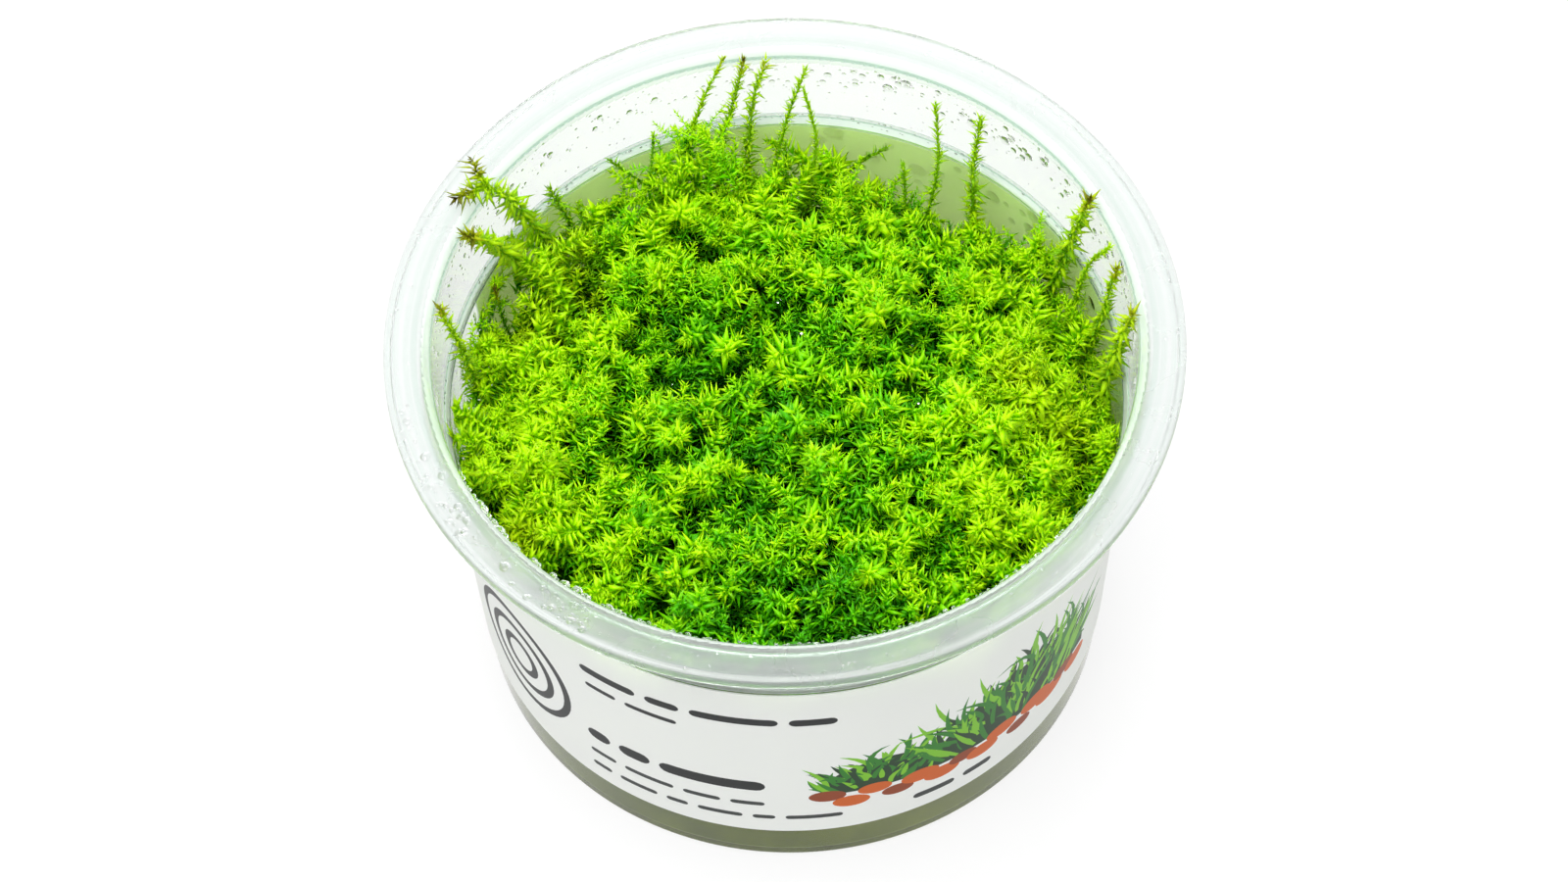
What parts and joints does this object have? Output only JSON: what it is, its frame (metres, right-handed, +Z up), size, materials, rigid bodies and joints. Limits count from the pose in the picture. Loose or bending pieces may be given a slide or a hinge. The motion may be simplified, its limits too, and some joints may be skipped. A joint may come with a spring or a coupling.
{
  "type": "tissue culture stringy moss in a cup",
  "caption": "Tissue-cultured stringy moss: a dense cushion of star-tipped green shoots on gel in a round clear flanged cup with a wrap label.",
  "frame": {"origin": "centre of the cup's base, on the surface that the cup stands on", "axes": "+Z up along the cup's axis, +X to the right as the label's printed side is faced, +Y away from it"},
  "size_m": [0.1, 0.1, 0.0642],
  "materials": {
    "cup_plastic": "clear thin moulded plastic, glossy, with fine condensation",
    "label_film": "smooth satin white film, faintly green where the moss shows through",
    "nutrient_gel": "cloudy soft gel, wet and smooth",
    "moss": "fine fresh leaves, bright lime at the tips and deep green in the clefts",
    "long_shoot": "fine fresh leaves on thin stems, some tips olive brown"
  },
  "bodies": {
    "root": {"cup": "cup_plastic", "label": "label_film", "gel": "nutrient_gel", "moss_clump": "moss", "shoot_01": "long_shoot", "shoot_02": "long_shoot", "shoot_03": "long_shoot", "shoot_04": "long_shoot", "shoot_05": "long_shoot", "shoot_06": "long_shoot", "shoot_07": "long_shoot", "shoot_08": "long_shoot", "shoot_09": "long_shoot", "shoot_10": "long_shoot", "shoot_11": "long_shoot", "shoot_12": "long_shoot", "shoot_13": "long_shoot", "shoot_14": "long_shoot", "shoot_15": "long_shoot", "shoot_16": "long_shoot", "shoot_17": "long_shoot", "shoot_18": "long_shoot", "shoot_19": "long_shoot", "shoot_20": "long_shoot", "shoot_21": "long_shoot", "shoot_22": "long_shoot"}
  },
  "joints": []
}
